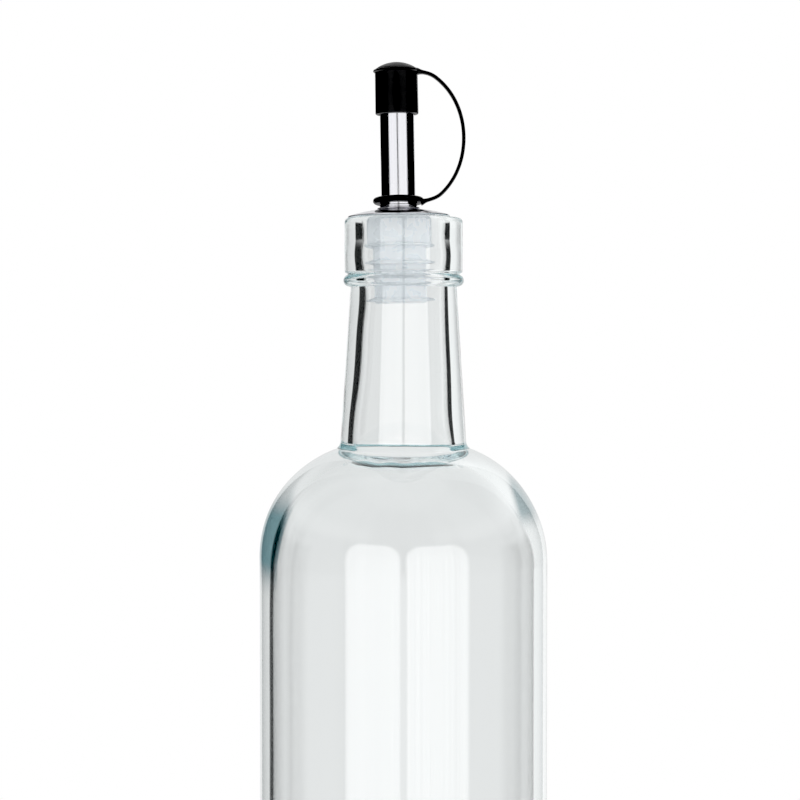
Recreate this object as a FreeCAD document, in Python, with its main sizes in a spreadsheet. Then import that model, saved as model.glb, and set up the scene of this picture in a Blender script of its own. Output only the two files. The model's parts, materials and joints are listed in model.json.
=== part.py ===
"""Glass oil bottle with a push-in steel pourer and a tethered rubber dust cap.

Millimetres, +Z up. The origin is on the bottle's axis, at the plane it stands on.
Every turned piece is a PartDesign body: an outline in the XZ plane, revolved about Z.
The pieces of the pourer are drawn in the pourer's own frame, whose origin is the centre
of the bottle's lip, and they share one placement that seats and leans them together.
"""
import FreeCAD, Part
import math
import os

import Sketcher

Vector = FreeCAD.Vector

# Driving dimensions, in millimetres and degrees. Each one becomes a cell with this alias.
SIZES = {
    # bottle, outside; every "drop" is measured down from the top of the lip
    "bottle_height": 288.0,
    "body_rad": 36.0,
    "heel_rad": 6.0,
    "bearing_rad": 25.5,
    "punt_rise": 4.0,
    "shoulder_drop": 85.0,
    "neck_foot_rad": 16.75,
    "neck_foot_drop": 57.5,
    "neck_low_rad": 15.7,
    "neck_low_drop": 55.4,
    "neck_fillet_rad": 2.6,
    "neck_top_rad": 13.25,
    "neck_top_drop": 17.2,
    "bead_root_rad": 14.0,
    "bead_low_drop": 16.9,
    "bead_high_drop": 14.1,
    "bead_round_rad": 1.46,
    "finish_rad": 14.75,
    "finish_low_drop": 13.75,
    "finish_low_round": 0.75,
    "lip_round": 1.0,
    # bottle, inside
    "bore_rad": 10.3,
    "bore_mouth_round": 1.2,
    "bore_low_drop": 17.5,
    "neck_bore_low_rad": 12.8,
    "neck_bore_low_drop": 57.35,
    "neck_bore_curve_rad": 320.0,
    "cavity_top_rad": 15.4,
    "cavity_top_drop": 61.3,
    "cavity_flare_rad": 4.5,
    "cavity_rad": 32.8,
    "cavity_shoulder_drop": 86.5,
    "cavity_heel_rad": 8.0,
    "floor_thick": 5.5,
    "floor_rise": 3.0,
    # how the pourer sits: off the bottle's axis towards -X, and leaning that way
    "pourer_shift": 1.2,
    "pourer_lean": 1.0,
    # stopper, in the pourer's frame
    "plug_head_rad": 9.0,
    "plug_head_low": 0.25,
    "plug_head_top": 0.8,
    "plug_barrel_rad": 8.1,
    "plug_barrel_depth": 6.4,
    "plug_core_rad": 6.6,
    "plug_depth": 21.5,
    "plug_edge": 0.4,
    "socket_rad": 4.3,
    "socket_depth": 12.0,
    "throat_rad": 3.9,
    "fin_rad": 8.8,
    "fin_root_rad": 6.4,
    "fin_low_depth": 20.9,
    "fin_tip": 0.4,
    "fin_root_drop": 0.3,
    "fin_root": 1.3,
    "fin_pitch": 4.7,
    "fin_count": 4,
    # steel disc that rests on the lip
    "disc_rad": 12.75,
    "disc_hole_rad": 4.3,
    "disc_seat": 0.3,
    "disc_sheet": 0.4,
    "disc_rise": 1.6,
    # steel ferrule that ties the tube to the disc
    "ferrule_low": 2.31,
    "ferrule_foot_rad": 5.4,
    "ferrule_foot": 0.3,
    "ferrule_flare": 0.4,
    "ferrule_rad": 4.75,
    "ferrule_top": 3.4,
    "ferrule_round": 0.15,
    # steel spout tube
    "tube_rad": 4.28,
    "tube_bore_rad": 3.78,
    "tube_depth": 11.9,
    "tube_top": 33.9,
    "tube_tip_round": 0.2,
    # breather tube inside the spout, against its back wall
    "vent_rad": 1.2,
    "vent_bore_rad": 0.85,
    "vent_offset": 2.55,
    "vent_depth": 19.5,
    "vent_length": 49.0,
    # rubber ring round the foot of the spout
    "ring_bore_rad": 4.34,
    "ring_rad": 6.36,
    "ring_low": 3.45,
    "ring_top": 5.35,
    "ring_round": 0.75,
    # rubber cap over the tip of the spout
    "cap_bore_rad": 4.35,
    "cap_ceiling": 35.4,
    "cap_low": 25.85,
    "cap_lip_round": 0.3,
    "cap_rad": 5.36,
    "flange_low": 36.0,
    "flange_flare": 0.42,
    "flange_rad": 5.75,
    "flange_top": 37.0,
    "cap_top": 39.0,
    # rubber strap: an arc of a circle from the ring's lug to the cap's lug
    "strap_inside_rad": 18.52,
    "strap_arc_centre_x": -2.28,
    "strap_arc_centre_z": 20.05,
    "strap_thick": 0.95,
    "strap_half_wide": 1.1,
    "strap_sweep": 116.0,
    "strap_turn": 2.0,
    "lug_wide": 2.4,
    "ring_lug_root": 5.6,
    "ring_lug_end": 8.0,
    "ring_lug_low": 3.85,
    "ring_lug_top": 4.85,
    "cap_lug_root": 4.9,
    "cap_lug_end": 6.9,
    "cap_lug_low": 35.85,
    "cap_lug_top": 36.8,
}

TURN = 360.0
SHEET_NAME = "Sizes"
PLUS_MINUS = ("+", "-")


def make_sheet(doc):
    """Put every driving dimension in a cell of its own, under its alias."""
    sheet = doc.addObject("Spreadsheet::Sheet", SHEET_NAME)
    for row, (alias, value) in enumerate(SIZES.items(), start=1):
        sheet.set(f"A{row}", alias)
        sheet.set(f"B{row}", str(value))
        sheet.setAlias(f"B{row}", alias)
    doc.recompute()
    return sheet


def amount(words):
    """The value of a sum of aliases, such as 'bottle_height - lip_round'."""
    total = 0.0
    sign = 1.0
    for word in words.split():
        if word in PLUS_MINUS:
            sign = 1.0 if word == "+" else -1.0
        else:
            total += sign * SIZES[word]
    return total


def formula(words):
    """The same sum as an expression that reads the sheet's cells."""
    return " ".join(word if word in PLUS_MINUS else f"{SHEET_NAME}.{word}" for word in words.split())


def origin_plane(body, role):
    for feature in body.Origin.OriginFeatures:
        if feature.Role == role:
            return feature
    raise ValueError(f"{body.Label} has no {role}")


def new_body(doc, name):
    body = doc.addObject("PartDesign::Body", name)
    body.Label = name
    return body


def new_sketch(body, name, role="XZ_Plane"):
    sketch = body.newObject("Sketcher::SketchObject", name)
    sketch.AttachmentSupport = (origin_plane(body, role), [""])
    sketch.MapMode = "FlatFace"
    return sketch


def bind(sketch, constraint, words):
    index = sketch.addConstraint(constraint)
    sketch.setExpression(f"Constraints[{index}]", formula(words))


def tangent_circle(start, heading, end):
    """Centre and signed radius of the arc that leaves start along heading and reaches end."""
    chord = end - start
    left = Vector(-heading.y, heading.x, 0)
    radius = chord.Length ** 2 / (2 * left.dot(chord))
    return start + left * radius, radius


def axis_circle(start, end):
    """Centre and signed radius of the arc from start to end whose centre is on the axis."""
    height = (start.Length ** 2 - end.Length ** 2) / (2 * (start.y - end.y))
    centre = Vector(0, height, 0)
    turn = (start - centre).cross(end - centre).z
    return centre, math.copysign((start - centre).Length, turn)


def chord_circle(start, end, radius):
    """Centre of the arc of the given signed radius; a positive one turns left."""
    chord = end - start
    left = Vector(-chord.y, chord.x, 0).normalize()
    rise = math.sqrt(radius ** 2 - (chord.Length / 2) ** 2)
    return start + chord * 0.5 + left * math.copysign(rise, radius), radius


def add_arc(sketch, start, end, centre, radius):
    """Add an arc and say which of its ends is the start, because arcs are stored anticlockwise."""
    first, last = (start, end) if radius > 0 else (end, start)
    angles = [math.atan2(point.y - centre.y, point.x - centre.x) for point in (first, last)]
    circle = Part.Circle(centre, Vector(0, 0, 1), abs(radius))
    edge = sketch.addGeometry(Part.ArcOfCircle(circle, angles[0], angles[1]), False)
    return (edge, 1, 2) if radius > 0 else (edge, 2, 1)


def outline(sketch, corners):
    """Draw a closed outline and tie it to the sheet.

    A corner is (x, z) or (x, z, edge), in sums of aliases; None is a coordinate of zero.
    edge says how the line arrives there: None is straight, "tangent" is an arc that
    leaves the edge before it smoothly, "dome" is an arc centred on the axis, and
    ("arc", alias, side) is an arc of a given radius that turns to side, 1 left or -1 right.
    """
    corners = [corner if len(corner) == 3 else (*corner, None) for corner in corners]
    points = [Vector(amount(x) if x else 0.0, amount(z) if z else 0.0, 0) for x, z, _ in corners]
    heading = None
    edges = []
    for index, (_, _, kind) in enumerate(corners):
        start, end = points[index - 1], points[index]
        if kind is None:
            edge = sketch.addGeometry(Part.LineSegment(start, end), False)
            edges.append((edge, 1, 2))
            heading = (end - start).normalize()
            continue
        if kind == "tangent":
            centre, radius = tangent_circle(start, heading, end)
        elif kind == "dome":
            centre, radius = axis_circle(start, end)
        else:
            centre, radius = chord_circle(start, end, kind[2] * SIZES[kind[1]])
        edges.append(add_arc(sketch, start, end, centre, radius))
        spoke = (end - centre) * (1 / radius)
        heading = Vector(-spoke.y, spoke.x, 0)

    for index, (x, z, kind) in enumerate(corners):
        edge, start, end = edges[index]
        before, _, before_end = edges[index - 1]
        if kind == "tangent":
            sketch.addConstraint(Sketcher.Constraint("Tangent", before, before_end, edge, start))
        else:
            sketch.addConstraint(Sketcher.Constraint("Coincident", before, before_end, edge, start))
        if kind == "dome":
            sketch.addConstraint(Sketcher.Constraint("PointOnObject", edge, 3, -2))
        elif kind is not None and kind != "tangent":
            bind(sketch, Sketcher.Constraint("Radius", edge, SIZES[kind[1]]), kind[1])
        if x:
            bind(sketch, Sketcher.Constraint("DistanceX", -1, 1, edge, end, points[index].x), x)
        else:
            sketch.addConstraint(Sketcher.Constraint("PointOnObject", edge, end, -2))
        if z:
            bind(sketch, Sketcher.Constraint("DistanceY", -1, 1, edge, end, points[index].y), z)
        else:
            sketch.addConstraint(Sketcher.Constraint("PointOnObject", edge, end, -1))


def revolve(body, name, corners):
    """Turn an outline of the XZ plane about the body's Z axis."""
    sketch = new_sketch(body, f"{name}_outline")
    outline(sketch, corners)
    feature = body.newObject("PartDesign::Revolution", name)
    feature.Profile = sketch
    feature.ReferenceAxis = (sketch, ["V_Axis"])
    feature.Angle = TURN
    return feature


def hollow(doc, body, name, corners):
    """Turn an outline out of the body, and make sure that it took something away."""
    doc.recompute()
    before = body.Shape.Volume
    sketch = new_sketch(body, f"{name}_outline")
    outline(sketch, corners)
    feature = body.newObject("PartDesign::Groove", name)
    feature.Profile = sketch
    feature.ReferenceAxis = (sketch, ["V_Axis"])
    feature.Angle = TURN
    doc.recompute()
    if not body.Shape.Volume < before:
        raise ValueError(f"{name} cut nothing")


def lug(body, name):
    """A block on the +X side that the strap grows out of."""
    root, end, low, top = (f"{name}_{side}" for side in ("root", "end", "low", "top"))
    sketch = new_sketch(body, f"{name}_outline")
    outline(sketch, [(root, low), (end, low), (end, top), (root, top)])
    feature = body.newObject("PartDesign::Pad", name)
    feature.Profile = sketch
    feature.Midplane = True
    feature.setExpression("Length", formula("lug_wide"))


def seat(piece, local_x="0", local_z="0", turn="0"):
    """Place a piece of the pourer: its own frame, leaning about the centre of the lip."""
    piece.setExpression(
        "Placement",
        f"placement(vector(-{SHEET_NAME}.pourer_shift; 0; {SHEET_NAME}.bottle_height);"
        f" rotation(vector(0; -1; 0); {SHEET_NAME}.pourer_lean))"
        f" * placement(vector({local_x}; 0; {local_z}); rotation(vector(0; -1; 0); {turn}))",
    )


def make_bottle(doc):
    body = new_body(doc, "glass_bottle")
    lip = "bottle_height"
    revolve(body, "bottle_outside", [
        (None, "punt_rise"),
        ("bearing_rad", None, "dome"),
        ("body_rad - heel_rad", None),
        ("body_rad", "heel_rad", "tangent"),
        ("body_rad", f"{lip} - shoulder_drop"),
        ("neck_foot_rad", f"{lip} - neck_foot_drop", "tangent"),
        ("neck_low_rad", f"{lip} - neck_low_drop", ("arc", "neck_fillet_rad", -1)),
        ("neck_top_rad", f"{lip} - neck_top_drop"),
        ("bead_root_rad", f"{lip} - bead_low_drop"),
        ("bead_root_rad", f"{lip} - bead_high_drop", ("arc", "bead_round_rad", 1)),
        ("finish_rad - finish_low_round", f"{lip} - finish_low_drop"),
        ("finish_rad", f"{lip} - finish_low_drop + finish_low_round", ("arc", "finish_low_round", 1)),
        ("finish_rad", f"{lip} - lip_round"),
        ("finish_rad - lip_round", lip, "tangent"),
        (None, lip),
    ])
    hollow(doc, body, "bottle_cavity", [
        (None, "floor_thick + floor_rise"),
        ("cavity_rad - cavity_heel_rad", "floor_thick", "dome"),
        ("cavity_rad", "floor_thick + cavity_heel_rad", ("arc", "cavity_heel_rad", 1)),
        ("cavity_rad", f"{lip} - cavity_shoulder_drop"),
        ("cavity_top_rad", f"{lip} - cavity_top_drop", "tangent"),
        ("neck_bore_low_rad", f"{lip} - neck_bore_low_drop", ("arc", "cavity_flare_rad", -1)),
        ("bore_rad", f"{lip} - bore_low_drop", ("arc", "neck_bore_curve_rad", -1)),
        ("bore_rad", f"{lip} - bore_mouth_round"),
        ("bore_rad + bore_mouth_round", lip, ("arc", "bore_mouth_round", -1)),
        (None, lip),
    ])
    return body


def make_stopper(doc):
    """Soft plug with four sealing fins; the spout is pressed into its socket."""
    body = new_body(doc, "stopper")
    revolve(body, "plug_core", [
        ("throat_rad", "- plug_depth"),
        ("plug_core_rad - plug_edge", "- plug_depth"),
        ("plug_core_rad", "plug_edge - plug_depth"),
        ("plug_core_rad", "- plug_barrel_depth"),
        ("plug_barrel_rad", "- plug_barrel_depth"),
        ("plug_barrel_rad", "plug_head_low"),
        ("plug_head_rad", "plug_head_low"),
        ("plug_head_rad", "plug_head_top"),
        ("socket_rad", "plug_head_top"),
        ("socket_rad", "- socket_depth"),
        ("throat_rad", "- socket_depth"),
    ])
    fin = revolve(body, "plug_fin", [
        ("fin_root_rad", "- fin_low_depth - fin_root_drop"),
        ("fin_rad", "- fin_low_depth"),
        ("fin_rad", "fin_tip - fin_low_depth"),
        ("fin_root_rad", "fin_root - fin_low_depth - fin_root_drop"),
    ])
    pattern = body.newObject("PartDesign::LinearPattern", "plug_fins")
    pattern.Originals = [fin]
    pattern.Direction = (fin.Profile[0], ["V_Axis"])
    pattern.setExpression("Occurrences", formula("fin_count"))
    pattern.setExpression("Length", f"{formula('fin_pitch')} * ({formula('fin_count')} - 1)")
    body.Tip = pattern
    seat(body)
    return body


def make_disc(doc):
    """Shallow dome of sheet steel that covers the mouth."""
    body = new_body(doc, "pourer_disc")
    revolve(body, "disc_sheet", [
        ("disc_hole_rad", "disc_seat + disc_rise"),
        ("disc_rad", "disc_seat", "dome"),
        ("disc_rad", "disc_seat + disc_sheet"),
        ("disc_hole_rad", "disc_seat + disc_rise + disc_sheet", "dome"),
    ])
    seat(body)
    return body


def make_ferrule(doc):
    """Flared collar between the disc and the tube."""
    body = new_body(doc, "spout_ferrule")
    revolve(body, "ferrule_turning", [
        ("disc_hole_rad", "ferrule_low"),
        ("ferrule_foot_rad", "ferrule_low"),
        ("ferrule_foot_rad", "ferrule_low + ferrule_foot"),
        ("ferrule_rad", "ferrule_low + ferrule_foot + ferrule_flare", ("arc", "ferrule_flare", -1)),
        ("ferrule_rad", "ferrule_top - ferrule_round"),
        ("ferrule_rad - ferrule_round", "ferrule_top", "tangent"),
        ("disc_hole_rad", "ferrule_top"),
    ])
    seat(body)
    return body


def make_tube(doc):
    body = new_body(doc, "spout_tube")
    revolve(body, "tube_wall", [
        ("tube_bore_rad", "- tube_depth"),
        ("tube_rad", "- tube_depth"),
        ("tube_rad", "tube_top - tube_tip_round"),
        ("tube_rad - tube_tip_round", "tube_top", "tangent"),
        ("tube_bore_rad", "tube_top"),
    ])
    seat(body)
    return body


def make_vent(doc):
    """Breather tube: it lets air in past the oil, behind the spout's axis."""
    tube = doc.addObject("Part::Cylinder", "vent_outside")
    tube.setExpression("Radius", formula("vent_rad"))
    bore = doc.addObject("Part::Cylinder", "vent_bore")
    bore.setExpression("Radius", formula("vent_bore_rad"))
    for cylinder in (tube, bore):
        cylinder.setExpression("Height", formula("vent_length"))
        cylinder.setExpression("Placement.Base.y", formula("vent_offset"))
        cylinder.setExpression("Placement.Base.z", formula("- vent_depth"))
    vent = doc.addObject("Part::Cut", "vent_tube")
    vent.Label = "vent_tube"
    vent.Base = tube
    vent.Tool = bore
    seat(vent)
    return vent


def make_ring(doc):
    """Rubber ring that grips the foot of the spout and anchors the strap."""
    body = new_body(doc, "collar_ring")
    revolve(body, "ring_section", [
        ("ring_bore_rad", "ring_low"),
        ("ring_rad - ring_round", "ring_low"),
        ("ring_rad", "ring_low + ring_round", "tangent"),
        ("ring_rad", "ring_top - ring_round"),
        ("ring_rad - ring_round", "ring_top", "tangent"),
        ("ring_bore_rad", "ring_top"),
    ])
    lug(body, "ring_lug")
    seat(body)
    return body


def make_cap(doc):
    """Rubber dust cap: a skirt over the tube's tip, a thin flange and a domed top."""
    body = new_body(doc, "cap")
    revolve(body, "cap_outside", [
        (None, "cap_low"),
        ("cap_rad - cap_lip_round", "cap_low"),
        ("cap_rad", "cap_low + cap_lip_round", "tangent"),
        ("cap_rad", "flange_low"),
        ("flange_rad", "flange_low + flange_flare", ("arc", "flange_flare", -1)),
        ("flange_rad", "flange_top"),
        (None, "cap_top", "dome"),
    ])
    lug(body, "cap_lug")
    hollow(doc, body, "cap_bore", [
        (None, "cap_low"),
        ("cap_bore_rad", "cap_low"),
        ("cap_bore_rad", "cap_ceiling"),
        (None, "cap_ceiling"),
    ])
    seat(body)
    return body


def make_strap(doc):
    """Flat strap, revolved about the middle of its arc; its own origin is that middle."""
    body = new_body(doc, "cap_strap")
    sketch = new_sketch(body, "strap_section", role="XY_Plane")
    inside, outside = "strap_inside_rad", "strap_inside_rad + strap_thick"
    near, far = "- strap_half_wide", "strap_half_wide"
    outline(sketch, [(inside, near), (outside, near), (outside, far), (inside, far)])
    feature = body.newObject("PartDesign::Revolution", "strap_arc")
    feature.Profile = sketch
    feature.ReferenceAxis = (sketch, ["V_Axis"])
    feature.Midplane = True
    feature.setExpression("Angle", formula("strap_sweep"))
    seat(body, *(formula(word) for word in ("strap_arc_centre_x", "strap_arc_centre_z", "strap_turn")))
    return body


def check(doc, pieces):
    """Stop if any object failed to recompute or any piece is empty or invalid."""
    for item in doc.Objects:
        if "Invalid" in item.State or "Error" in item.State:
            raise ValueError(f"{item.Label} did not recompute: {item.State}")
    for piece in pieces:
        shape = piece.Shape
        if shape.isNull() or not shape.isValid() or not shape.Solids:
            raise ValueError(f"{piece.Label} has no valid solid")


def main():
    doc = FreeCAD.newDocument("oil_bottle")
    make_sheet(doc)
    makers = (
        make_bottle,
        make_stopper,
        make_disc,
        make_ferrule,
        make_tube,
        make_vent,
        make_ring,
        make_cap,
        make_strap,
    )
    pieces = [make(doc) for make in makers]
    doc.recompute()
    check(doc, pieces)
    os.makedirs("parts", exist_ok=True)
    for piece in pieces:
        piece.Shape.exportStep(f"parts/{piece.Label}.step")
        print(f"{piece.Label}: {piece.Shape.Volume:.1f} mm3, {len(piece.Shape.Solids)} solid")


main()
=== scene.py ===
"""Looks of the glass oil bottle: clear glass, a steel pourer and a tethered rubber cap.

The pieces are lathed meshes. Lengths below are in millimetres times MM, so in metres.
The pourer's pieces are drawn in the pourer's own frame: its origin is the centre of the
bottle's lip, and its Z axis is the line that the pourer is pulled out along. Left and
right are as seen from the front, where the camera is.
"""
import json
import math

import bpy
from mathutils import Matrix, Vector


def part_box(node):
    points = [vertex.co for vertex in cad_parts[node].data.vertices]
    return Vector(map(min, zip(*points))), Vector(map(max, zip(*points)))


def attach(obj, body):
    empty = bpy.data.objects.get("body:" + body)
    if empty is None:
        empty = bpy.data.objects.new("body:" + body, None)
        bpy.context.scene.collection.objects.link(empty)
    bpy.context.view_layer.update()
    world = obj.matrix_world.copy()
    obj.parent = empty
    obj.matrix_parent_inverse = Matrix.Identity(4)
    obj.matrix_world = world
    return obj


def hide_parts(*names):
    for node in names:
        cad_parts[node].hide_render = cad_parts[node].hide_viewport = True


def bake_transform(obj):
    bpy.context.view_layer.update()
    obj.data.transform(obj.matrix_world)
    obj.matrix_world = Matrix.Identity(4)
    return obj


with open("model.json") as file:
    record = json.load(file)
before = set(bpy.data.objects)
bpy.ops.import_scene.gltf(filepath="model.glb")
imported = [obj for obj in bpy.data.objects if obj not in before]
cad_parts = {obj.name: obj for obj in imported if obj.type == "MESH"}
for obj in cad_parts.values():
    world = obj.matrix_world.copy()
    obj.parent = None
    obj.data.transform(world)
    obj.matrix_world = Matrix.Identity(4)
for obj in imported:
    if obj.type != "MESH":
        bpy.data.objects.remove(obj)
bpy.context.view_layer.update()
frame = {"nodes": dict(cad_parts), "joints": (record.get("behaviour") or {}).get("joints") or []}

MM = 0.001
TAU = 2 * math.pi
SEGMENTS = 256
JOINTS = {joint["name"]: joint for joint in frame["joints"]}

# ---------------------------------------------------------------- places, from the frame

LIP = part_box("glass_bottle")[1].z
BODY_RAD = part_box("glass_bottle")[1].y
POURER_SEAT = Vector(JOINTS["ring_swivel"]["pos_m"])
POURER_AXIS = Vector(JOINTS["pourer_pull"]["axis"]).normalized()


def pourer_frame():
    """The matrix of the pourer's own frame: it leans in the XZ plane."""
    sideways = Vector((0, 1, 0)).cross(POURER_AXIS).normalized()
    turn = Matrix((sideways, (0, 1, 0), POURER_AXIS)).transposed()
    return Matrix.Translation(POURER_SEAT) @ turn.to_4x4()


POURER = pourer_frame()

# ---------------------------------------------------------------- outlines


def heading_after(centre, radius, end):
    """The direction in which an arc arrives at its end."""
    spoke = (end - centre) / radius
    return Vector((-spoke.y, spoke.x))


def arc_points(start, end, centre, radius, step):
    """Points after start, up to end, along the arc; a positive radius turns left."""
    first = math.atan2(start.y - centre.y, start.x - centre.x)
    last = math.atan2(end.y - centre.y, end.x - centre.x)
    sweep = (last - first) % TAU
    if radius < 0:
        sweep -= TAU
    count = max(4, math.ceil(abs(sweep * radius) / step))
    size = abs(radius)
    angles = [first + sweep * index / count for index in range(1, count)]
    return [centre + size * Vector((math.cos(a), math.sin(a))) for a in angles] + [end]


def outline(corners, arc_step=0.25 * MM, line_step=2.5 * MM):
    """Sample an outline in the (radius, height) plane.

    A corner is (radius, height) or (radius, height, edge), and edge says how the outline
    arrives: None is straight, "tangent" leaves the edge before it smoothly, "dome" is
    centred on the axis, and a number is an arc's radius, positive if it turns left.
    """
    points = [Vector(corners[0][:2])]
    heading = Vector((1, 0))
    for corner in corners[1:]:
        start, end = points[-1], Vector(corner[:2])
        kind = corner[2] if len(corner) > 2 else None
        chord = end - start
        if kind is None:
            count = max(1, math.ceil(chord.length / line_step))
            points += [start + chord * index / count for index in range(1, count + 1)]
            heading = chord.normalized()
            continue
        if kind == "tangent":
            left = Vector((-heading.y, heading.x))
            radius = chord.length_squared / (2 * left.dot(chord))
            centre = start + left * radius
        elif kind == "dome":
            height = (start.length_squared - end.length_squared) / (2 * (start.y - end.y))
            centre = Vector((0, height))
            turn = (start - centre).cross(end - centre)
            radius = math.copysign((start - centre).length, turn)
        else:
            left = Vector((-chord.y, chord.x)).normalized()
            rise = math.sqrt(kind ** 2 - chord.length_squared / 4)
            centre = start + chord / 2 + left * math.copysign(rise, kind)
            radius = kind
        points += arc_points(start, end, centre, radius, arc_step)
        heading = heading_after(centre, radius, end)
    return points


# ---------------------------------------------------------------- meshes


def make_piece(name, verts, faces, material, smooth_angle=35):
    """An object that is smooth except at edges sharper than smooth_angle degrees."""
    mesh = bpy.data.meshes.new(name)
    mesh.from_pydata(verts, [], faces)
    mesh.validate()
    mesh.shade_smooth()
    mesh.set_sharp_from_angle(angle=math.radians(smooth_angle))
    mesh.materials.append(material)
    piece = bpy.data.objects.new(name, mesh)
    bpy.context.scene.collection.objects.link(piece)
    return piece


def lathe_mesh(section, segments=SEGMENTS, shape=None):
    """Vertices and faces of a section turned about Z. A section that starts and ends on
    the axis closes there; any other is joined end to start. shape(vertex, ring) may move
    each vertex; its ring counts the section's points."""
    on_axis = section[0].x < 1e-9
    rings = section[1:-1] if on_axis else section
    verts = []
    for point in rings:
        for index in range(segments):
            angle = TAU * index / segments
            verts.append(Vector((point.x * math.cos(angle), point.x * math.sin(angle), point.y)))
    faces = []
    ring_count = len(rings)
    for ring in range(ring_count if not on_axis else ring_count - 1):
        above = (ring + 1) % ring_count
        for index in range(segments):
            beside = (index + 1) % segments
            faces.append((
                ring * segments + index,
                ring * segments + beside,
                above * segments + beside,
                above * segments + index,
            ))
    if on_axis:
        first, last = len(verts), len(verts) + 1
        verts += [Vector((0, 0, section[0].y)), Vector((0, 0, section[-1].y))]
        top = (ring_count - 1) * segments
        for index in range(segments):
            beside = (index + 1) % segments
            faces.append((first, beside, index))
            faces.append((last, top + index, top + beside))
    if shape:
        first_ring = 1 if on_axis else 0
        for place in range(ring_count * segments):
            verts[place] = shape(verts[place], first_ring + place // segments)
    return verts, faces


def lathe(name, section, material, segments=SEGMENTS, shape=None, place=None):
    """A turned piece, moved by the matrix place."""
    verts, faces = lathe_mesh(section, segments, shape)
    if place is not None:
        verts = [place @ vert for vert in verts]
    return make_piece(name, verts, faces, material)


# ---------------------------------------------------------------- node trees


class Tree:
    """Short calls for the nodes of a material or of the world."""

    def __init__(self, owner):
        owner.use_nodes = True
        self.tree = owner.node_tree
        self.tree.nodes.clear()

    def add(self, kind, settings=None, **inputs):
        """A new node; an input's name has _ for each space."""
        node = self.tree.nodes.new(kind)
        for key, value in (settings or {}).items():
            setattr(node, key, value)
        for key, value in inputs.items():
            self.put(node.inputs[key.replace("_", " ")], value)
        return node

    def put(self, socket, value):
        """Link a socket to another one, or set it to a number."""
        if isinstance(value, bpy.types.NodeSocket):
            self.tree.links.new(value, socket)
        else:
            socket.default_value = value

    def math(self, operation, *values):
        node = self.add("ShaderNodeMath", {"operation": operation})
        for socket, value in zip(node.inputs, values):
            self.put(socket, value)
        return node.outputs[0]

    def ramp(self, value, low, high, to_low=0.0, to_high=1.0, kind="SMOOTHSTEP"):
        """value mapped from low..high to to_low..to_high, and held beyond them."""
        node = self.add("ShaderNodeMapRange", {"interpolation_type": kind})
        for socket, number in zip(node.inputs, (value, low, high, to_low, to_high)):
            self.put(socket, number)
        return node.outputs[0]

    def mix(self, share, first, second):
        """A colour between first and second."""
        node = self.add("ShaderNodeMix", {"data_type": "RGBA"})
        self.put(node.inputs[0], share)
        self.put(node.inputs[6], first)
        self.put(node.inputs[7], second)
        return node.outputs[2]

    def noise(self, vector, scale=1.0, detail=3.0, rough=0.5):
        node = self.add("ShaderNodeTexNoise", Vector=vector, Scale=scale, Detail=detail, Roughness=rough)
        return node.outputs["Fac"]

    def position(self, scale=(1, 1, 1)):
        """The point on the object, in metres times scale."""
        where = self.add("ShaderNodeTexCoord").outputs["Object"]
        return self.add("ShaderNodeMapping", {}, Vector=where, Scale=scale).outputs[0]

    def bump(self, height, distance, below=None):
        """The normal of a relief, laid over another normal if below is given."""
        node = self.add("ShaderNodeBump", Height=height, Distance=distance, Strength=1.0)
        if below:
            self.put(node.inputs["Normal"], below)
        return node.outputs[0]

    def finish(self, shader, socket="Surface", output="ShaderNodeOutputMaterial"):
        """Link the shader to the tree's one output."""
        found = [node for node in self.tree.nodes if node.bl_idname == output]
        node = found[0] if found else self.add(output)
        self.tree.links.new(shader, node.inputs[socket])


# ---------------------------------------------------------------- materials


# The glass's base colour is painted a dark green-blue where it is seen edge on through the sides
# of the shoulder, outside the line TINT_RIM, whose ends are (radius, drop below the lip). It is
# partly the glass's own tint where it is thick and partly painted shade: the dark edge that the
# shoulder shows, stronger on the left than on the right.
SHOULDER_TINT_AND_SHADE = (0.07, 0.17, 0.20, 1)
TINT_LEFT = {"drop": 79 * MM, "reach": 15 * MM}
TINT_RIGHT = {"drop": 69 * MM, "reach": 8 * MM}
TINT_RIGHT_STRENGTH = 0.8
TINT_CORE = 0.35
TINT_RIM = {"low": (31 * MM, 85 * MM), "high": (25.5 * MM, 64 * MM)}
TINT_RIM_SOFT = 1 * MM
TINT_BACK = 4 * MM
TINT_FACING = (0.40, 0.52)
GLASS_COLOUR = (0.50, 0.775, 0.81, 1)
GLASS_DENSITY = 6.0
RIPPLE_DEPTH = 0.02 * MM
STREAK_DEPTH = 0.0016 * MM
# The other materials
WHITE = (1, 1, 1, 1)
STEEL_COLOURS = ((0.76, 0.76, 0.80, 1), (0.84, 0.84, 0.87, 1))
STEEL_ROUGHNESS = (0.12, 0.20)
STEEL_MARK_DEPTH = 0.003 * MM
RUBBER_COLOURS = ((0.0004, 0.0004, 0.0007, 1), (0.0012, 0.0012, 0.0018, 1))
RUBBER_DUST = (0.008, 0.008, 0.010, 1)
RUBBER_ROUGHNESS = (0.28, 0.36)
RUBBER_GRAIN_DEPTH = 0.02 * MM
PLASTIC_COLOURS = ((0.88, 0.93, 0.97, 1), (0.95, 0.975, 1.0, 1))
PLASTIC_ROUGHNESS = (0.22, 0.34)
FLOOR_COLOURS = ((0.93, 0.93, 0.93, 1), (0.96, 0.96, 0.96, 1))


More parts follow.
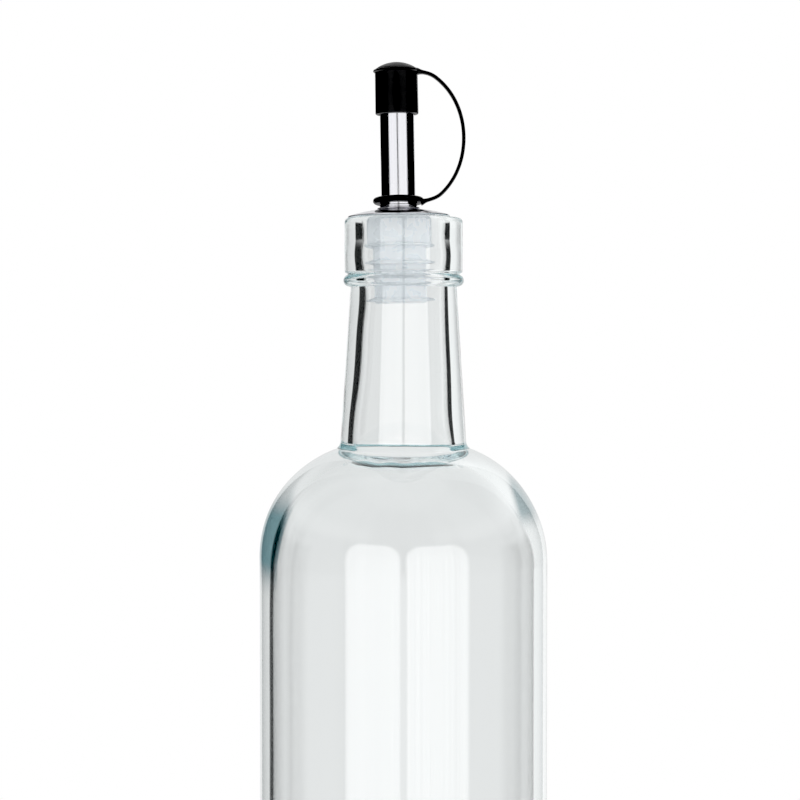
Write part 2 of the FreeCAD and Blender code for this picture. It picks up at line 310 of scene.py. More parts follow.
def shoulder_tint_and_shade(tree):
    """How much the glass is tinted, partly for its thickness and partly as painted shade: 1 in
    the left side of the shoulder and less in its right side, outside a line near the rim, and 0
    where the glass is seen face on."""
    sideways, depth, height = tree.add("ShaderNodeSeparateXYZ", Vector=tree.position()).outputs

    def at_drop(drop, reach):
        away = tree.math("ABSOLUTE", tree.math("SUBTRACT", height, LIP - drop))
        return tree.ramp(away, TINT_CORE * reach, reach, 1.0, 0.0)

    (low_rad, low_drop), (high_rad, high_drop) = TINT_RIM["low"], TINT_RIM["high"]
    front_rim = tree.ramp(height, LIP - low_drop, LIP - high_drop, low_rad, high_rad, "LINEAR")
    rim = tree.math("ADD", front_rim, tree.ramp(depth, -TINT_BACK, TINT_BACK, 0.0, TINT_BACK))
    soft = TINT_RIM_SOFT
    left = tree.ramp(tree.math("ADD", sideways, rim), -soft, soft, 1.0, 0.0)
    right = tree.ramp(tree.math("SUBTRACT", sideways, rim), -soft, soft, 0.0, TINT_RIGHT_STRENGTH)
    # thick holds the tint and the painted shade together, left and right.
    thick = tree.math(
        "ADD",
        tree.math("MULTIPLY", left, at_drop(**TINT_LEFT)),
        tree.math("MULTIPLY", right, at_drop(**TINT_RIGHT)),
    )
    facing = tree.add("ShaderNodeLayerWeight", Blend=0.5).outputs["Facing"]
    return tree.math("MULTIPLY", thick, tree.ramp(facing, *TINT_FACING))


def glass_material():
    """Clear glass: faint ripples from the mould, and a green-blue tint at the shoulder's sides that is
    partly its own colour where thick and partly painted shade.
    """
    material = bpy.data.materials.new("bottle_glass")
    tree = Tree(material)
    ripple = tree.noise(tree.position((90, 90, 25)), detail=2.0, rough=0.4)
    streaks = tree.noise(tree.position((520, 520, 9)), detail=2.0)
    skin = tree.bump(streaks, STREAK_DEPTH)
    shader = tree.add(
        "ShaderNodeBsdfPrincipled",
        # Painted shade: the dark green-blue of the shoulder's sides is mixed into the base colour.
        Base_Color=tree.mix(shoulder_tint_and_shade(tree), WHITE, SHOULDER_TINT_AND_SHADE),
        Roughness=0.0,
        IOR=1.5,
        Transmission_Weight=1.0,
        Normal=tree.bump(ripple, RIPPLE_DEPTH, below=skin),
    )
    tree.finish(shader.outputs[0])
    tint = tree.add("ShaderNodeVolumeAbsorption", Color=GLASS_COLOUR, Density=GLASS_DENSITY)
    tree.finish(tint.outputs[0], "Volume")
    return material


def steel_material():
    """Polished stainless steel with fine marks round it and faint smears."""
    material = bpy.data.materials.new("polished_steel")
    tree = Tree(material)
    marks = tree.noise(tree.position((300, 300, 9000)), detail=4.0, rough=0.6)
    smears = tree.noise(tree.position((260, 260, 120)), rough=0.55)
    shader = tree.add(
        "ShaderNodeBsdfPrincipled",
        Base_Color=tree.mix(smears, *STEEL_COLOURS),
        Metallic=1.0,
        Roughness=tree.ramp(smears, 0.35, 0.75, *STEEL_ROUGHNESS),
        Normal=tree.bump(marks, STEEL_MARK_DEPTH),
    )
    tree.finish(shader.outputs[0])
    return material


def rubber_material():
    """Black moulded rubber: a satin skin, fine grain and a little dust."""
    material = bpy.data.materials.new("black_rubber")
    tree = Tree(material)
    where = tree.position()
    grain = tree.noise(where, scale=5200.0, rough=0.6)
    patches = tree.noise(where, scale=420.0, detail=4.0, rough=0.55)
    specks = tree.ramp(tree.noise(where, scale=2600.0, detail=1.0, rough=0.4), 0.72, 0.8)
    shader = tree.add(
        "ShaderNodeBsdfPrincipled",
        Base_Color=tree.mix(specks, tree.mix(patches, *RUBBER_COLOURS), RUBBER_DUST),
        Roughness=tree.ramp(patches, 0.3, 0.7, *RUBBER_ROUGHNESS),
        Specular_IOR_Level=0.36,
        Normal=tree.bump(grain, RUBBER_GRAIN_DEPTH),
    )
    tree.finish(shader.outputs[0])
    return material


def plastic_material():
    """Translucent, slightly milky soft plastic."""
    material = bpy.data.materials.new("stopper_plastic")
    tree = Tree(material)
    cloud = tree.noise(tree.position(), scale=350.0)
    shader = tree.add(
        "ShaderNodeBsdfPrincipled",
        Base_Color=tree.mix(cloud, *PLASTIC_COLOURS),
        Roughness=tree.ramp(cloud, 0.3, 0.7, *PLASTIC_ROUGHNESS),
        IOR=1.06,
        Transmission_Weight=0.2,
    )
    tree.finish(shader.outputs[0])
    return material


def floor_material():
    """Pale matt board with a faint glow, so it stays as light as the room behind it."""
    material = bpy.data.materials.new("pale_floor")
    tree = Tree(material)
    grain = tree.noise(tree.position(), scale=40.0, detail=4.0)
    shader = tree.add(
        "ShaderNodeBsdfPrincipled",
        Base_Color=tree.mix(grain, *FLOOR_COLOURS),
        Roughness=0.6,
        Specular_IOR_Level=0.2,
        Emission_Color=WHITE,
        Emission_Strength=0.3,
    )
    tree.finish(shader.outputs[0])
    return material


# ---------------------------------------------------------------- the bottle

# Outside, as (radius, drop below the lip)
SHOULDER_DROP = 85.0 * MM
NECK_FOOT = (16.75 * MM, 57.5 * MM)
NECK_FOOT_ROUND = 2.6 * MM
NECK_LOW = (15.7 * MM, 55.4 * MM)
NECK_TOP = (13.25 * MM, 17.2 * MM)
BEAD_ROOT_RAD = 14.0 * MM
BEAD_DROPS = (16.9 * MM, 14.1 * MM)
BEAD_ROUND = 1.46 * MM
BEAD_HOLLOW = 0.9 * MM
FINISH_RAD = 14.75 * MM
FINISH_LOW_DROP = 13.75 * MM
FINISH_LOW_ROUND = 0.75 * MM
LIP_ROUND = 1.0 * MM
HEEL_RAD = 6.0 * MM
BEARING_RAD = 25.5 * MM
PUNT_RISE = 4.0 * MM
# Inside
BORE_RAD = 10.3 * MM
BORE_MOUTH_ROUND = 1.2 * MM
BORE_LOW_DROP = 17.5 * MM
NECK_BORE_LOW = (12.9 * MM, 58.5 * MM)
CAVITY_TOP = (14.8 * MM, 61.1 * MM)
CAVITY_FLARE = 2.9 * MM
CAVITY_RAD = 32.8 * MM
CAVITY_SHOULDER_ROUND = 26.9 * MM
CAVITY_SHOULDER_DROP = 86.5 * MM
CAVITY_HEEL = 8.0 * MM
FLOOR_THICK = 5.5 * MM
FLOOR_RISE = 3.0 * MM


def bottle_section():
    """The wall's whole outline: up the outside, over the lip and down the inside."""
    return outline([
        (0, PUNT_RISE),
        (BEARING_RAD, 0, "dome"),
        (BODY_RAD - HEEL_RAD, 0),
        (BODY_RAD, HEEL_RAD, "tangent"),
        (BODY_RAD, LIP - SHOULDER_DROP),
        (NECK_FOOT[0], LIP - NECK_FOOT[1], "tangent"),
        (NECK_LOW[0], LIP - NECK_LOW[1], -NECK_FOOT_ROUND),
        (NECK_TOP[0], LIP - NECK_TOP[1]),
        (BEAD_ROOT_RAD, LIP - BEAD_DROPS[0], -BEAD_HOLLOW),
        (BEAD_ROOT_RAD, LIP - BEAD_DROPS[1], BEAD_ROUND),
        (FINISH_RAD - FINISH_LOW_ROUND, LIP - FINISH_LOW_DROP),
        (FINISH_RAD, LIP - FINISH_LOW_DROP + FINISH_LOW_ROUND, FINISH_LOW_ROUND),
        (FINISH_RAD, LIP - LIP_ROUND),
        (FINISH_RAD - LIP_ROUND, LIP, "tangent"),
        (BORE_RAD + BORE_MOUTH_ROUND, LIP),
        (BORE_RAD, LIP - BORE_MOUTH_ROUND, "tangent"),
        (BORE_RAD, LIP - BORE_LOW_DROP),
        (NECK_BORE_LOW[0], LIP - NECK_BORE_LOW[1], "tangent"),
        (CAVITY_TOP[0], LIP - CAVITY_TOP[1], CAVITY_FLARE),
        (CAVITY_RAD, LIP - CAVITY_SHOULDER_DROP, -CAVITY_SHOULDER_ROUND),
        (CAVITY_RAD, FLOOR_THICK + CAVITY_HEEL),
        (CAVITY_RAD - CAVITY_HEEL, FLOOR_THICK, "tangent"),
        (0, FLOOR_THICK + FLOOR_RISE, "dome"),
    ])


# How far the blown glass is from a perfect turning: (outwards, drop, reach)
SHOULDER_SWAY = (-0.32 * MM, 70 * MM, 11 * MM)
MOUTH_BARREL = (0.5 * MM, 9.3 * MM, 3.2 * MM)
MOUTH_FLARE = (0.35 * MM, 0.6 * MM, 1.8 * MM)
NECK_TOP_LEFT = (-0.35 * MM, 20 * MM, 6 * MM)
NECK_LOW_LEAN = (0.35 * MM, 50 * MM, 8 * MM)
SHOULDER_LEFT = (-0.3 * MM, 82 * MM, 10 * MM)
SHOULDER_RIGHT = (-0.5 * MM, 70 * MM, 8 * MM)
FOOT_WAVES = (0.07 * MM, 60 * MM, 2.5 * MM)
# Waves round the inside of the neck's foot: (number of waves, size, phase)
FOOT_WAVE_SHAPES = ((5, 1.0, 1.0), (11, 0.6, 2.0), (17, 0.4, 0.0))


def swell(value, centre, reach):
    """1 at centre, fading to 0 a few reaches away."""
    return math.exp(-((value - centre) / reach) ** 2)


def blown_shape(section):
    """A function that moves a vertex of the turned bottle to where the blown glass is. The
    outside sways to the left at the shoulder, and the inside swells, leans and waves."""
    rim = max(index for index, point in enumerate(section) if point.y > LIP - 0.01 * MM)

    def moved(departure, drop):
        outwards, centre, reach = departure
        return outwards * swell(drop, centre, reach)

    def shape(vert, ring):
        radius = math.hypot(vert.x, vert.y)
        if radius < 1e-6:
            return vert
        side = vert.x / radius
        drop = LIP - vert.z
        left, right = max(-side, 0.0) ** 2, max(side, 0.0) ** 2
        if ring <= rim:
            return Vector((vert.x + moved(SHOULDER_SWAY, drop), vert.y, vert.z))
        around = math.atan2(vert.y, vert.x)
        waves = sum(size * math.sin(count * around + phase) for count, size, phase in FOOT_WAVE_SHAPES)
        out = (
            moved(MOUTH_BARREL, drop)
            + moved(MOUTH_FLARE, drop)
            + moved(NECK_TOP_LEFT, drop) * left
            + moved(NECK_LOW_LEAN, drop) * (left - right)
            + moved(SHOULDER_LEFT, drop) * left
            + moved(SHOULDER_RIGHT, drop) * right
            + moved(FOOT_WAVES, drop) * waves
        )
        scale = 1 + out / radius
        return Vector((vert.x * scale, vert.y * scale, vert.z))

    return shape


def make_bottle(material):
    """The glass, with its outside, lip and inside as one closed skin."""
    section = bottle_section()
    piece = lathe("bottle_glass", section, material, shape=blown_shape(section))
    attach(piece, "bottle")
    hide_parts("glass_bottle")


# ---------------------------------------------------------------- the pourer

POURER_SEGMENTS = 128
PLUG_HEAD_RAD = 9.0 * MM
PLUG_BARREL_RAD = 8.1 * MM
PLUG_BARREL_DEPTH = 6.35 * MM
PLUG_BARREL_ROUND = 0.3 * MM
PLUG_CORE_RAD = 6.6 * MM
PLUG_DEPTH = 21.5 * MM
PLUG_FOOT_BEVEL = 0.4 * MM
PLUG_STEP = 0.25 * MM
PLUG_TOP = 0.8 * MM
SOCKET_RAD = 4.3 * MM
SOCKET_DEPTH = 12.0 * MM
THROAT_RAD = 3.9 * MM
FIN_RAD = 8.8 * MM
FIN_DEPTHS = [(20.9 - 4.7 * index) * MM for index in range(4)]
FIN_SLOPE = 0.25 * MM
FIN_TIP = 0.15 * MM
FIN_TIP_TOP = 0.35 * MM
FIN_TIP_ROUNDS = (0.16 * MM, 0.2 * MM)
FIN_ROOT = (0.3 * MM, 0.8 * MM)
FIN_ROOT_TOP = 1.1 * MM
FIN_ROOT_HOLLOW = 0.35 * MM
DISC_RAD = 12.75 * MM
DISC_SEAT = 0.3 * MM
DISC_SHEET = 0.4 * MM
DISC_RISE = 1.6 * MM
FERRULE_LOW = 2.31 * MM
FERRULE_FOOT_RAD = 5.4 * MM
FERRULE_FOOT = 0.3 * MM
FERRULE_FOOT_ROUND = FERRULE_FOOT / 1.9
FERRULE_RAD = 4.75 * MM
FERRULE_FLARE = 0.4 * MM
FERRULE_FLARE_ROUND = 0.16 * MM
FERRULE_WAIST = 0.12 * MM
FERRULE_WAIST_SPAN = (0.1 * MM, 0.25 * MM)
FERRULE_ROUND = 0.2 * MM
FERRULE_TOP = 3.4 * MM
TUBE_RAD = 4.28 * MM
TUBE_BORE_RAD = 3.78 * MM
TUBE_DEPTH = 11.9 * MM
TUBE_TOP = 33.9 * MM


def stopper_section():
    """The plug, from its foot up over the fins to its head, and down its socket."""
    corners = [(THROAT_RAD, -PLUG_DEPTH), (PLUG_CORE_RAD - PLUG_FOOT_BEVEL, -PLUG_DEPTH)]
    for depth in FIN_DEPTHS:
        corners += [
            (PLUG_CORE_RAD, -depth - FIN_SLOPE),
            (FIN_RAD - FIN_TIP, -depth),
            (FIN_RAD, -depth + FIN_TIP, FIN_TIP_ROUNDS[0]),
            (FIN_RAD - FIN_TIP, -depth + FIN_TIP_TOP, FIN_TIP_ROUNDS[1]),
            (PLUG_CORE_RAD + FIN_ROOT[0], -depth + FIN_ROOT[1]),
            (PLUG_CORE_RAD, -depth + FIN_ROOT_TOP, -FIN_ROOT_HOLLOW),
        ]
    # The top fin runs into the barrel.
    corners[-1] = (PLUG_CORE_RAD, -PLUG_BARREL_DEPTH)
    corners += [
        (PLUG_BARREL_RAD - PLUG_BARREL_ROUND, -PLUG_BARREL_DEPTH),
        (PLUG_BARREL_RAD, -PLUG_BARREL_DEPTH + PLUG_BARREL_ROUND, "tangent"),
        (PLUG_BARREL_RAD, PLUG_STEP),
        (PLUG_HEAD_RAD, PLUG_STEP),
        (PLUG_HEAD_RAD, PLUG_TOP),
        (SOCKET_RAD, PLUG_TOP),
        (SOCKET_RAD, -SOCKET_DEPTH),
        (THROAT_RAD, -SOCKET_DEPTH),
    ]
    return outline(corners, arc_step=0.1 * MM)


def disc_section():
    """A domed sheet with a rounded edge, from its hole outwards and back."""
    edge = DISC_SHEET / 2
    return outline([
        (SOCKET_RAD, DISC_SEAT + DISC_RISE),
        (DISC_RAD - edge, DISC_SEAT, "dome"),
        (DISC_RAD, DISC_SEAT + edge, edge),
        (DISC_RAD - edge, DISC_SEAT + DISC_SHEET, edge),
        (SOCKET_RAD, DISC_SEAT + DISC_RISE + DISC_SHEET, "dome"),
    ], arc_step=0.12 * MM)


def ferrule_section():
    """A collar with a rounded foot and a waist above it."""
    foot_top = FERRULE_LOW + FERRULE_FOOT
    waist = FERRULE_RAD - FERRULE_WAIST
    return outline([
        (SOCKET_RAD, FERRULE_LOW),
        (FERRULE_FOOT_RAD - FERRULE_FOOT / 2, FERRULE_LOW),
        (FERRULE_FOOT_RAD - FERRULE_FOOT / 2, foot_top, FERRULE_FOOT_ROUND),
        (waist, foot_top + FERRULE_WAIST_SPAN[0]),
        (waist, foot_top + FERRULE_WAIST_SPAN[1]),
        (FERRULE_RAD, foot_top + FERRULE_FLARE, FERRULE_FLARE_ROUND),
        (FERRULE_RAD, FERRULE_TOP - FERRULE_ROUND),
        (FERRULE_RAD - FERRULE_ROUND, FERRULE_TOP, "tangent"),
        (SOCKET_RAD, FERRULE_TOP),
    ], arc_step=0.06 * MM)


def tube_section():
    """The spout: a plain tube with a rounded tip."""
    wall = TUBE_RAD - TUBE_BORE_RAD
    tip = wall / 2
    return outline([
        (TUBE_BORE_RAD, -TUBE_DEPTH),
        (TUBE_RAD, -TUBE_DEPTH),
        (TUBE_RAD, TUBE_TOP - tip),
        (TUBE_BORE_RAD + tip, TUBE_TOP, "tangent"),
        (TUBE_BORE_RAD, TUBE_TOP - tip, "tangent"),
    ], arc_step=0.06 * MM)


def make_pourer(steel, plastic):
    """The plug and the steel parts; the vent tube keeps its CAD shape and gets steel."""
    steel_pieces = {
        "pourer_disc": disc_section(),
        "spout_ferrule": ferrule_section(),
        "spout_tube": tube_section(),
    }
    for node, section in steel_pieces.items():
        piece = lathe(f"{node}_steel", section, steel, POURER_SEGMENTS, place=POURER)
        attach(piece, "pourer")
        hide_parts(node)
    plug = lathe("stopper_plug", stopper_section(), plastic, POURER_SEGMENTS, place=POURER)
    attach(plug, "pourer")
    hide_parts("stopper")
    vent = frame["nodes"]["vent_tube"]
    vent.data.materials.clear()
    vent.data.materials.append(steel)


# ---------------------------------------------------------------- ring, strap and cap

RING_SEGMENTS = 96
CAP_SEGMENTS = 128
RING_BORE = 4.34 * MM
RING_RAD = 6.36 * MM
RING_THICK = 1.52 * MM
RING_MIDDLE = 4.35 * MM
RING_TILT = math.radians(4.0)
RING_ROUND = 0.8 * MM
BORE_CHAMFER = 0.15 * MM
CAP_BORE = 4.35 * MM
CAP_CEILING = 35.4 * MM
CAP_LOW = 25.85 * MM
CAP_RAD = 5.36 * MM
CAP_CHAMFER = 0.25 * MM
CAP_ROUND = 0.3 * MM
CAP_TAPER = 0.05 * MM
CAP_TOP = 38.8 * MM
# The cap's flange and the foot of its dome: a radius and heights, or (radius, height)
FLANGE_LOW = 36.0 * MM
FLANGE_FLARE = (5.65 * MM, 36.42 * MM)
FLANGE_FLARE_HOLLOW = 0.55 * MM
FLANGE_RAD = 5.75 * MM
FLANGE_EDGE = (36.55 * MM, 36.7 * MM)
FLANGE_TOP = (5.6 * MM, 36.9 * MM)
DOME_GROOVE = (5.26 * MM, 37.02 * MM)
DOME_FOOT = (5.2 * MM, 37.14 * MM)
STRAP_RAD = 18.99 * MM
STRAP_CENTRE = Vector((-2.28 * MM, 0, 20.05 * MM))
STRAP_SQUARENESS = 0.16 * MM
STRAP_THICK = 0.9 * MM
STRAP_WIDE = 2.2 * MM
STRAP_ENDS = (math.radians(-46), math.radians(50))
STRAP_STEPS = 96
STRAP_RIM = 24
STRAP_EDGES = (0.55, 0.75)
RING_ROOT = Vector((5.5 * MM, 0, 3.9 * MM))
RING_ROOT_RISE = math.radians(20)
CAP_ROOT = Vector((4.9 * MM, 0, 36.5 * MM))
CAP_ROOT_RISE = math.radians(-9)
ROOT_STEPS = 24
ROOT_HANDLE = 1 / 2.6
ROOT_REACH = 1.1 * MM
ROOT_SWELL = (0.9, 0.4)


def ring_section():
    """The ring's section, about the middle of its height."""
    half = RING_THICK / 2
    return outline([
        (RING_BORE, -half + BORE_CHAMFER),
        (RING_BORE + BORE_CHAMFER, -half),
        (RING_RAD - RING_ROUND, -half),
        (RING_RAD, 0, "tangent"),
        (RING_RAD - RING_ROUND, half, "tangent"),
        (RING_BORE + BORE_CHAMFER, half),
        (RING_BORE, half - BORE_CHAMFER),
    ], arc_step=0.08 * MM)


def cap_section():
    """The cap, from its ceiling down the bore and up the outside to the dome."""
    return outline([
        (0, CAP_CEILING),
        (CAP_BORE, CAP_CEILING),
        (CAP_BORE, CAP_LOW + CAP_CHAMFER),
        (CAP_BORE + CAP_CHAMFER, CAP_LOW),
        (CAP_RAD - CAP_ROUND, CAP_LOW),
        (CAP_RAD, CAP_LOW + CAP_ROUND, "tangent"),
        (CAP_RAD - CAP_TAPER, FLANGE_LOW),
        (*FLANGE_FLARE, -FLANGE_FLARE_HOLLOW),
        (FLANGE_RAD, FLANGE_EDGE[0]),
        (FLANGE_RAD, FLANGE_EDGE[1]),
        (*FLANGE_TOP, "tangent"),
        DOME_GROOVE,
        DOME_FOOT,
        (0, CAP_TOP, "dome"),
    ], arc_step=0.1 * MM)


def strap_point(angle):
    """A point of the strap's middle line: a circle that is a little squarer than round."""
    reach = STRAP_RAD - STRAP_SQUARENESS * math.cos(4 * angle)
    return STRAP_CENTRE + reach * Vector((math.cos(angle), 0, math.sin(angle)))


def root_curve(root, rise, start, heading):
    """Points from the root to start; they leave at the angle rise and arrive along heading."""
    reach = (start - root).length * ROOT_HANDLE
    level = root + reach * Vector((math.cos(rise), 0, math.sin(rise)))
    arrive = start - heading * reach
    points = []
    for step in range(ROOT_STEPS):
        share = step / ROOT_STEPS
        rest = 1 - share
        points.append(
            root * rest ** 3
            + level * (3 * rest ** 2 * share)
            + arrive * (3 * rest * share ** 2)
            + start * share ** 3
        )
    return points


def strap_path():
    """The strap's middle line, from inside the ring to inside the cap's flange."""
    low, high = STRAP_ENDS
    angles = [low + (high - low) * step / STRAP_STEPS for step in range(STRAP_STEPS + 1)]
    middle = [strap_point(angle) for angle in angles]
    leaving = (middle[1] - middle[0]).normalized()
    arriving = (middle[-2] - middle[-1]).normalized()
    return (
        root_curve(RING_ROOT, RING_ROOT_RISE, middle[0], leaving)
        + middle
        + list(reversed(root_curve(CAP_ROOT, CAP_ROOT_RISE, middle[-1], arriving)))
    )


def strap_mesh():
    """A flat strap with rounded edges, swept along its path and thicker at its roots."""
    rim = STRAP_RIM
    path = strap_path()
    verts, faces = [], []
    for step, point in enumerate(path):
        before, after = path[max(step - 1, 0)], path[min(step + 1, len(path) - 1)]
        along = (after - before).normalized()
        out = Vector((along.z, 0, -along.x))
        from_end = min((point - path[0]).length, (point - path[-1]).length)
        root = swell(from_end, 0, ROOT_REACH)
        thick = STRAP_THICK * (1 + ROOT_SWELL[0] * root)
        wide = STRAP_WIDE * (1 + ROOT_SWELL[1] * root)
        for index in range(rim):
            cos, sin = math.cos(TAU * index / rim), math.sin(TAU * index / rim)
            across = math.copysign(abs(cos) ** STRAP_EDGES[0], cos) * wide / 2
            depth = math.copysign(abs(sin) ** STRAP_EDGES[1], sin) * thick / 2
            verts.append(point + out * depth + Vector((0, across, 0)))
    for step in range(len(path) - 1):
        for index in range(rim):
            beside = (index + 1) % rim
            faces.append((
                step * rim + index,
                step * rim + beside,
                (step + 1) * rim + beside,
                (step + 1) * rim + index,
            ))
    faces.append(tuple(reversed(range(rim))))
    faces.append(tuple((len(path) - 1) * rim + index for index in range(rim)))
    return verts, faces


def make_cap_unit(rubber):
    """The ring, which sits a little askew, the cap, and the strap between them."""
    seat = POURER @ Matrix.Translation((0, 0, RING_MIDDLE)) @ Matrix.Rotation(-RING_TILT, 4, "X")
    ring = lathe("collar_ring_rubber", ring_section(), rubber, RING_SEGMENTS, place=seat)
    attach(ring, "strap_ring")
    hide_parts("collar_ring")
    cap = lathe("cap_rubber", cap_section(), rubber, CAP_SEGMENTS, place=POURER)
    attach(cap, "dust_cap")
    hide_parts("cap")
    verts, faces = strap_mesh()
    verts = [POURER @ vert for vert in verts]
    strap = make_piece("strap_rubber", verts, faces, rubber, smooth_angle=60)
    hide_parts("cap_strap")
    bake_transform(strap)


# ---------------------------------------------------------------- camera, floor and light

CAMERA_DISTANCE = 0.477
CAMERA_HEIGHT = 0.2564
CAMERA_SIDE = -0.0009
CAMERA_PITCH = math.radians(1.65)
CAMERA_ANGLE = math.radians(23.7)
FLOOR_RAD = 0.48
LIGHT_BOUNCES = 48
BLACK_LEVEL = 0.026


def set_tones():
    """Plain tones, with the darkest greys taken down to black as in a catalogue picture."""
    view = bpy.context.scene.view_settings
    view.view_transform = "Standard"
    view.use_curve_mapping = True
    view.curve_mapping.black_level = (BLACK_LEVEL,) * 3
    view.curve_mapping.update()


def allow_long_light_paths():
    """Light that is led along inside thick glass comes out again after many bounces."""
    cycles = bpy.context.scene.cycles
    cycles.max_bounces = LIGHT_BOUNCES
    cycles.glossy_bounces = LIGHT_BOUNCES
    cycles.transmission_bounces = LIGHT_BOUNCES


def make_camera():
    """It looks at the bottle's upper part from the front, a little downwards."""
    data = bpy.data.cameras.new("camera")
    data.angle = CAMERA_ANGLE
    data.clip_start = 0.01
    camera = bpy.data.objects.new("camera", data)
    camera.location = (CAMERA_SIDE, -CAMERA_DISTANCE, CAMERA_HEIGHT)
    camera.rotation_euler = (math.pi / 2 - CAMERA_PITCH, 0, 0)
    bpy.context.scene.collection.objects.link(camera)
    bpy.context.scene.camera = camera


def make_floor():
    """A round floor. Rays that come through the glass pass it, or the clear bottle would be
    white on white from above."""
    verts, faces = [Vector((0, 0, 0))], []
    for index in range(SEGMENTS):
        angle = TAU * index / SEGMENTS
        verts.append(Vector((math.cos(angle), math.sin(angle), 0)) * FLOOR_RAD)
        faces.append((0, 1 + index, 1 + (index + 1) % SEGMENTS))
    floor = make_piece("floor", verts, faces, floor_material())
    floor.visible_transmission = False
    floor.visible_glossy = False


# Directions round the object, in degrees: an azimuth of 0 is towards the camera and 180 is
# behind the object. A pair of directions is where a part starts to fade in or out and where
# it has done so.
SIDE_SOFT = 1.0
# The panels each side of the camera, and the folds of their cloth
PANEL_GAP = 2.4
PANEL_FAR = {"left": 46.0, "right": 52.0}
PANEL_TOP = 20.0
PANEL_CORNER = 13.0
PANEL_SOFT = 2.0
PANEL_LIGHT = 1.05
PANEL_GLOSS = 3.4
PANEL_FOLDS = 0.22
FOLD_SCALE = 0.4
FOLD_RANGE = (0.35, 0.65)
# Satin surfaces, the steel and the rubber, reflect wider and dimmer panels than the glass.
SATIN_FAR = 13.0
SATIN_GAP = 1.2
SATIN_DIM = 3.2
# The lower part of the gap between the panels
GAP_LIGHT = 0.9
GAP_SIDES = (5.0, 6.0)
GAP_TOP = (-8.0, -2.0)
# The white behind the object
BACKDROP_FROM = {"left": 143.0, "right": 134.0}
BACKDROP_SOFT = 2.0
BACKDROP_GLOSS = 14.0
BACKDROP_LIGHT = 0.83
BACKDROP_TINT = (0.985, 1.0, 0.998, 1)
BACKDROP_EDGE = {"left": 0.85, "right": 1.05}
BACKDROP_EDGE_FROM = (155.0, 173.0)
BACKDROP_LEVEL = (-7.0, -3.0)
BACKDROP_LEVEL_DIM = 0.96
# The white above it, which is dimmer in reflections, and the white overhead and below
SKY_FROM = (18.0, 26.0)
SKY_SIDES = (20.0, 34.0)
SKY_LIGHT = 0.70
SKY_LIFT = 8.0
SKY_DIM_FROM = (28.0, 40.0)
SKY_DIM = 0.4
OVERHEAD_FROM = (45.0, 70.0)
BELOW_FROM = (-17.0, -13.5)
BELOW_LIGHT = 0.85
# Light from the front and sides that is seen only through glass, and the light that the
# plug scatters inside it
FILL_RISE = (50.0, 62.0)
FILL_LIGHT = (0.6, 0.9)
FILL_TO = (100.0, 110.0)
SCATTER_LIGHT = 1.4


class Studio:
    """The directions and the kinds of ray, as sockets of the world's tree."""

    def __init__(self, tree):
        self.tree = tree
        where = tree.add("ShaderNodeTexCoord").outputs["Generated"]
        x, y, z = tree.add("ShaderNodeSeparateXYZ", Vector=where).outputs
        away = tree.math("ARCTAN2", x, tree.math("MULTIPLY", y, -1.0))
        self.signed = tree.math("DEGREES", away)
        self.azimuth = tree.math("ABSOLUTE", self.signed)
        self.elevation = tree.math("DEGREES", tree.math("ARCSINE", z))
        path = tree.add("ShaderNodeLightPath").outputs
        self.seen = path["Is Camera Ray"]
        self.refracted = path["Is Transmission Ray"]
        self.reflected = self.times(path["Is Glossy Ray"], self.less(1.0, self.refracted))
        self.satin = self.times(self.reflected, self.less(1.0, path["Is Singular Ray"]))
        self.scattered = self.times(tree.math("MINIMUM", path["Diffuse Depth"], 1.0), self.refracted)

    def times(self, *values):
        return self.chain("MULTIPLY", values)

    def brightest(self, *values):
        return self.chain("MAXIMUM", values)

    def chain(self, operation, values):
        result = values[0]
        for value in values[1:]:
            result = self.tree.math(operation, result, value)
        return result

    def less(self, first, second):
        return self.tree.math("SUBTRACT", first, second)

    def fades(self, value, span, to=0.0):
        """1 below the span, and to above it."""
        return self.tree.ramp(value, *span, 1.0, to)

    def by_side(self, values):
        return self.tree.ramp(self.signed, -SIDE_SOFT, SIDE_SOFT, values["left"], values["right"])


def panel_light(studio):
    """The soft panels each side of the camera: rounded at the top and a little folded."""
    tree, times, less = studio.tree, studio.times, studio.less
    far = tree.math("ADD", studio.by_side(PANEL_FAR), times(studio.satin, SATIN_FAR))
    gap = tree.ramp(studio.satin, 0.0, 1.0, PANEL_GAP, PANEL_GAP + SATIN_GAP)
    half = times(less(far, gap), 0.5)
    middle = tree.math("ADD", half, gap)
    flat = less(half, PANEL_CORNER)
    beside = less(tree.math("ABSOLUTE", less(studio.azimuth, middle)), flat)
    above = less(studio.elevation, PANEL_TOP - PANEL_CORNER)
    squares = [tree.math("POWER", tree.math("MAXIMUM", side, 0.0), 2.0) for side in (beside, above)]
    outside = tree.math("SQRT", tree.math("ADD", *squares))
    panel = studio.fades(outside, (PANEL_CORNER - PANEL_SOFT, PANEL_CORNER + PANEL_SOFT))
    noise = tree.add(
        "ShaderNodeTexNoise", {"noise_dimensions": "1D"}, W=studio.signed, Scale=FOLD_SCALE, Detail=2.0
    )
    folds = tree.ramp(noise.outputs["Fac"], *FOLD_RANGE, 1.0 - PANEL_FOLDS, 1.0)
    gloss = less(times(studio.reflected, PANEL_GLOSS), times(studio.satin, SATIN_DIM))
    return times(panel, tree.math("ADD", gloss, PANEL_LIGHT), folds)


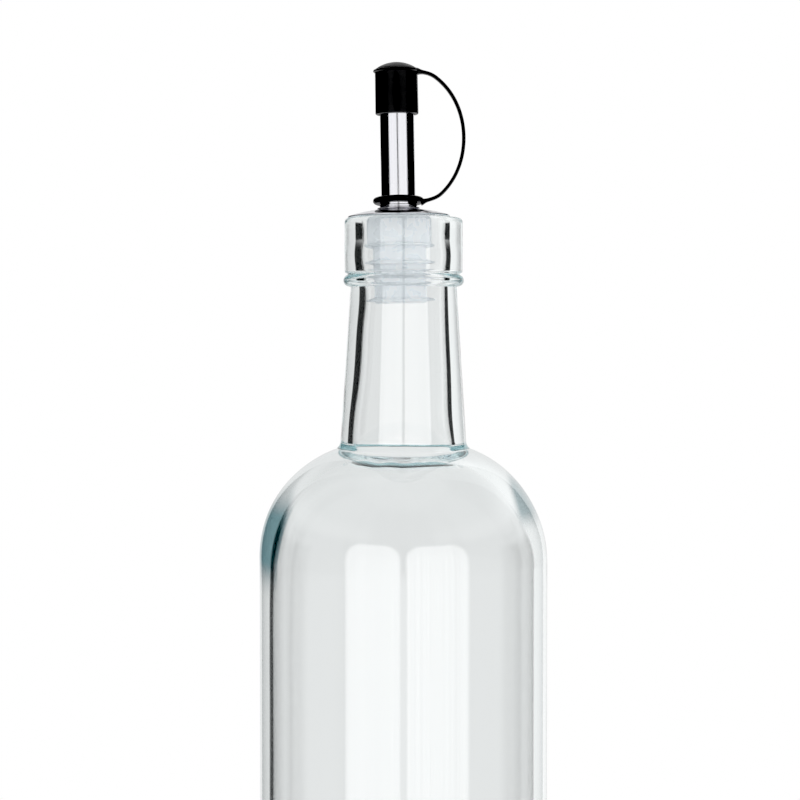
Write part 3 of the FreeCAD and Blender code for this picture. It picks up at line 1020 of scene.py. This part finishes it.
def backdrop_light(studio):
    """The white behind the object, brighter or dimmer towards its edges."""
    tree = studio.tree
    start = tree.math("ADD", studio.by_side(BACKDROP_FROM), studio.times(studio.reflected, BACKDROP_GLOSS))
    lit = tree.ramp(studio.less(studio.azimuth, start), -BACKDROP_SOFT, BACKDROP_SOFT)
    edge = studio.by_side(BACKDROP_EDGE)
    light = tree.ramp(studio.azimuth, *BACKDROP_EDGE_FROM, edge, BACKDROP_LIGHT)
    return studio.times(lit, light, studio.fades(studio.elevation, BACKDROP_LEVEL, BACKDROP_LEVEL_DIM))


def make_world():
    """A studio round the object: a soft panel each side of the camera, black gaps beside
    them that draw the dark edges of the glass, and white behind, above and below."""
    world = bpy.data.worlds.new("studio")
    bpy.context.scene.world = world
    tree = Tree(world)
    studio = Studio(tree)
    times, fades = studio.times, studio.fades
    azimuth, elevation, refracted = studio.azimuth, studio.elevation, studio.refracted
    dim_share = times(tree.ramp(elevation, *SKY_DIM_FROM, 0.0, 1.0 - SKY_DIM), studio.reflected)
    dim = studio.less(1.0, dim_share)
    sky_sides = studio.brightest(tree.ramp(azimuth, *SKY_SIDES), refracted)
    lifted = tree.math("ADD", elevation, times(refracted, SKY_LIFT))
    light = studio.brightest(
        times(fades(azimuth, FILL_TO), refracted, tree.ramp(azimuth, *FILL_RISE, *FILL_LIGHT)),
        times(studio.scattered, SCATTER_LIGHT),
        panel_light(studio),
        backdrop_light(studio),
        times(fades(azimuth, GAP_SIDES), fades(elevation, GAP_TOP), GAP_LIGHT),
        times(sky_sides, tree.ramp(lifted, *SKY_FROM), dim, SKY_LIGHT),
        times(tree.ramp(elevation, *OVERHEAD_FROM), dim),
        times(fades(elevation, BELOW_FROM), BELOW_LIGHT),
        studio.seen,
    )
    colour = tree.mix(refracted, WHITE, BACKDROP_TINT)
    shader = tree.add("ShaderNodeBackground", Color=colour, Strength=light)
    tree.finish(shader.outputs[0], output="ShaderNodeOutputWorld")


# ---------------------------------------------------------------- everything

set_tones()
allow_long_light_paths()
make_camera()
make_world()
make_floor()
make_bottle(glass_material())
make_pourer(steel_material(), plastic_material())
make_cap_unit(rubber_material())
